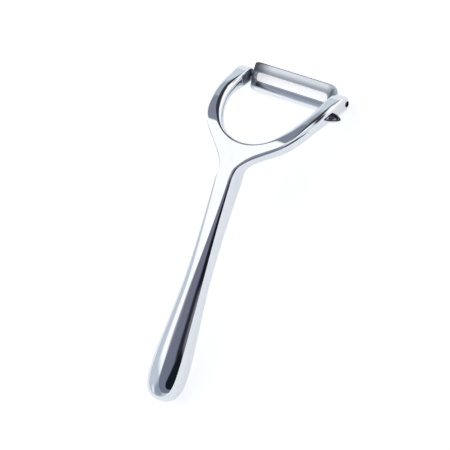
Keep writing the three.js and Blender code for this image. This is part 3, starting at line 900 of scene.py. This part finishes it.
# Camera: a long lens over the right-hand side of the peeler.
# It is rolled, so that the handle runs down to the left.
VIEW_TURN = math.radians(36)
VIEW_RISE = math.radians(-6.33)
VIEW_ROLL = math.radians(17.226)
VIEW_DISTANCE = 779.7
VIEW_MIDDLE = np.array([0, 85.0, -5.0])
VIEW_ASIDE = 3.665
VIEW_ABOVE = 5.325
IMAGE_PIXELS = 450
PIXELS_PER_MM = 2.06
SENSOR_WIDTH = 36
back = np.array([
    math.sin(VIEW_TURN) * math.cos(VIEW_RISE),
    -math.sin(VIEW_RISE),
    math.cos(VIEW_TURN) * math.cos(VIEW_RISE),
])
up = np.array([0, 1.0, 0]) - back * back[1]
up /= np.linalg.norm(up)
right = np.cross(up, back)
image_right = math.cos(VIEW_ROLL) * right + math.sin(VIEW_ROLL) * up
image_up = math.cos(VIEW_ROLL) * up - math.sin(VIEW_ROLL) * right
eye = VIEW_MIDDLE + VIEW_DISTANCE * back
target = VIEW_MIDDLE + VIEW_ASIDE * image_right + VIEW_ABOVE * image_up
axis_back = (eye - target) / np.linalg.norm(eye - target)
axis_right = image_right - axis_back * (image_right @ axis_back)
axis_right /= np.linalg.norm(axis_right)
axis_up = np.cross(axis_back, axis_right)
camera_data = bpy.data.cameras.new("camera")
camera_data.sensor_width = SENSOR_WIDTH
camera_data.lens = SENSOR_WIDTH * PIXELS_PER_MM * VIEW_DISTANCE / IMAGE_PIXELS
camera = bpy.data.objects.new("camera", camera_data)
bpy.context.scene.collection.objects.link(camera)
stand = np.eye(4)
stand[:3, :3] = turn @ np.stack([axis_right, axis_up, axis_back], axis=1)
stand[:3, 3] = placed(eye)
camera.matrix_world = Matrix(stand.tolist())
bpy.context.scene.camera = camera
bpy.context.scene.view_settings.view_transform = "Standard"


# Floor: a table under a sheet of white card, with a faint paper grain.
# It is lifted to white for the eye and nearly so in the metal, and keeps the peeler's soft shadow.
FLOOR_HALF = 3.0
PAPER_GRAIN = 0.004
LIFT_SEEN = 0.57
LIFT_MIRRORED = 0.44
floor_mesh = bpy.data.meshes.new("white_table")
corners = np.array([(-1, -1, 0), (1, -1, 0), (1, 1, 0), (-1, 1, 0)]) * FLOOR_HALF
floor_mesh.from_pydata(corners.tolist(), [], [(0, 1, 2, 3)])
floor = bpy.data.objects.new("white_table", floor_mesh)
bpy.context.scene.collection.objects.link(floor)
card, tree = new_material("white_paper_card")
place = add_node(tree, "ShaderNodeTexCoord", {}, {}).outputs["Object"]
fibre = add_node(tree, "ShaderNodeTexNoise", {}, {
    "Vector": place,
    "Scale": 1 / PAPER_GRAIN,
    "Detail": 4.0,
}).outputs["Fac"]
tone = add_node(tree, "ShaderNodeMix", {"data_type": "RGBA"}, {
    "Factor": fibre,
    MIX_FIRST: colour("#F4F4F4"),
    MIX_SECOND: colour("#F0F0F0"),
}).outputs[MIX_RESULT]
board = add_node(tree, "ShaderNodeBsdfDiffuse", {}, {"Color": tone})
path = add_node(tree, "ShaderNodeLightPath", {}, {}).outputs
in_metal = add_node(tree, "ShaderNodeMath", {"operation": "MAXIMUM"}, {
    0: path["Is Glossy Ray"],
    1: path["Is Transmission Ray"],
}).outputs[0]
mirrored = add_node(tree, "ShaderNodeMath", {"operation": "MULTIPLY"}, {
    0: in_metal,
    1: LIFT_MIRRORED,
}).outputs[0]
lift = add_node(tree, "ShaderNodeMath", {"operation": "MULTIPLY_ADD"}, {
    0: path["Is Camera Ray"],
    1: LIFT_SEEN,
    2: mirrored,
}).outputs[0]
glow = add_node(tree, "ShaderNodeEmission", {}, {"Color": colour("#FFFFFF"), "Strength": lift})
both = add_node(tree, "ShaderNodeAddShader", {}, {0: board.outputs[0], 1: glow.outputs[0]})
add_node(tree, "ShaderNodeOutputMaterial", {}, {"Surface": both.outputs[0]})
floor_mesh.materials.append(card)


# Light: a white tent all round, with grey and dark cards hung in it to draw dark lines on the chrome.
# A card is a soft ellipse on a flat chart of the tent, which has the camera's side in its middle. Its row
# gives place across and above, half width, half height, degrees turned, softness of its rim and colour.
TENT_STRENGTH = 1.2
CARDS = {
    "cool_low": (-1.00, -1.00, 1.40, 0.88, 0, 0.06, "#BDC5D0"),
    "cool_left": (-2.00, -0.10, 1.12, 0.22, 0, 0.10, "#BDC5D0"),
    "slate_low": (-0.30, -0.60, 0.32, 0.36, 0, 0.35, "#8C97A5"),
    "pale_low": (-0.77, -0.75, 0.13, 0.26, 0, 0.35, "#E6EAEE"),
    "pale_front": (0.10, 0.20, 0.45, 0.22, 0, 0.30, "#D0D8DF"),
    "pale_high": (-0.68, 1.03, 0.40, 0.48, 0, 0.10, "#C6D1DA"),
    "grey_high": (-0.70, 0.80, 0.32, 0.28, 0, 0.25, "#A0AAB4"),
    "grey_edge": (-0.70, 0.61, 0.34, 0.15, 0, 0.06, "#7F8492"),
    "dark_line": (-0.47, 0.80, 0.13, 0.42, -8, 0.35, "#36363E"),
    "dark_arc": (-0.36, 0.75, 0.26, 0.19, -34, 0.25, "#36373D"),
    "dark_right": (0.08, 0.47, 0.32, 0.11, -34, 0.40, "#3A3B41"),
    "edge_line": (-0.50, 0.14, 0.09, 0.26, 25, 0.30, "#838895"),
    "mauve_low": (0.02, -0.27, 0.47, 0.28, -22, 0.10, "#6E7182"),
    "mauve_right": (0.40, -0.20, 0.36, 0.19, 0, 0.10, "#6C6C78"),
    "thin_dark": (0.22, -0.065, 0.12, 0.045, 0, 0.50, "#2A2930"),
    "black_right": (0.32, -0.235, 0.31, 0.165, 4, 0.08, "#161B22"),
}
world = bpy.data.worlds.new("light_tent")
world.use_nodes = True
bpy.context.scene.world = world
tree = world.node_tree
tree.nodes.clear()
ray = add_node(tree, "ShaderNodeTexCoord", {}, {}).outputs["Generated"]
across, above, towards = (
    add_node(tree, "ShaderNodeVectorMath", {"operation": "DOT_PRODUCT"}, {
        0: ray,
        1: (turn @ axis).tolist(),
    }).outputs["Value"]
    for axis in (right, up, back)
)
# On the chart, across and above are divided by the reach towards the camera plus a little over 1, so that
# the point straight behind stays finite.
CHART_SPAN = 1.0001
span = add_node(tree, "ShaderNodeMath", {"operation": "ADD"}, {0: towards, 1: CHART_SPAN}).outputs[0]
chart_x = add_node(tree, "ShaderNodeMath", {"operation": "DIVIDE"}, {0: across, 1: span}).outputs[0]
chart_y = add_node(tree, "ShaderNodeMath", {"operation": "DIVIDE"}, {0: above, 1: span}).outputs[0]
chart = add_node(tree, "ShaderNodeCombineXYZ", {}, {"X": chart_x, "Y": chart_y}).outputs[0]
tint = colour("#FFFFFF")
for name, (x, y, half_width, half_height, degrees, softness, hex_code) in CARDS.items():
    on_card = add_node(tree, "ShaderNodeMapping", {"vector_type": "TEXTURE"}, {
        "Vector": chart,
        "Location": (x, y, 0),
        "Rotation": (0, 0, math.radians(degrees)),
        "Scale": (half_width, half_height, 1),
    }).outputs[0]
    reach = add_node(tree, "ShaderNodeVectorMath", {"operation": "LENGTH"}, {
        0: on_card,
    }).outputs["Value"]
    cover = add_node(tree, "ShaderNodeMapRange", {"interpolation_type": "SMOOTHSTEP"}, {
        "Value": reach,
        "From Min": 1 - softness,
        "From Max": 1 + softness,
        "To Min": 1.0,
        "To Max": 0.0,
    }).outputs[0]
    tint = add_node(tree, "ShaderNodeMix", {"data_type": "RGBA", "name": name}, {
        "Factor": cover,
        MIX_FIRST: tint,
        MIX_SECOND: colour(hex_code),
    }).outputs[MIX_RESULT]
tent = add_node(tree, "ShaderNodeBackground", {}, {"Color": tint, "Strength": TENT_STRENGTH})
plain_white = add_node(tree, "ShaderNodeBackground", {}, {"Color": colour("#FFFFFF"), "Strength": 1.0})
seen = add_node(tree, "ShaderNodeLightPath", {}, {}).outputs["Is Camera Ray"]
mixed = add_node(tree, "ShaderNodeMixShader", {}, {
    0: seen,
    1: tent.outputs[0],
    2: plain_white.outputs[0],
})
add_node(tree, "ShaderNodeOutputWorld", {}, {"Surface": mixed.outputs[0]})


bpy.context.view_layer.update()
